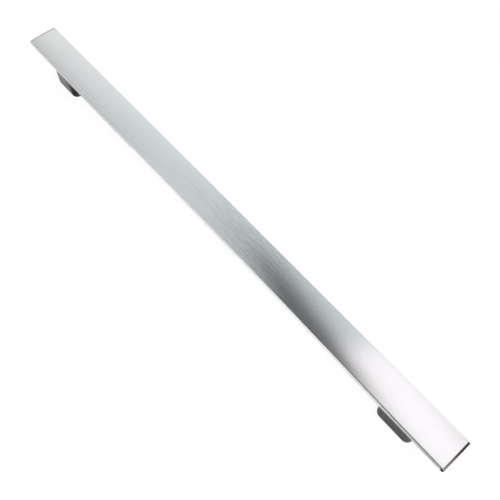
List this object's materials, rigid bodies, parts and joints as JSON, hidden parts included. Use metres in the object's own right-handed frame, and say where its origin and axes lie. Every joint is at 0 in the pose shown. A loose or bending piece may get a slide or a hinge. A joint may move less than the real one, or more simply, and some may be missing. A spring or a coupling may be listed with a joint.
{
  "type": "oven door handle",
  "caption": "Slightly bowed flat bar of brushed metal on dark standoff posts that screw to an oven door and leave a finger gap behind the bar.",
  "frame": {"origin": "midway between the posts, in the plane of their feet, which is the face of the oven door", "axes": "+X along the bar, +Y across it, +Z away from the oven door"},
  "size_m": [0.532, 0.028, 0.0377],
  "materials": {
    "brushed_bar": "satin, brushed along the bar",
    "post_finish": "satin",
    "screw_steel": "satin"
  },
  "bodies": {
    "root": {"grip_bar": "brushed_bar", "left_post": "post_finish", "right_post": "post_finish", "post_screws": "screw_steel"}
  },
  "joints": []
}
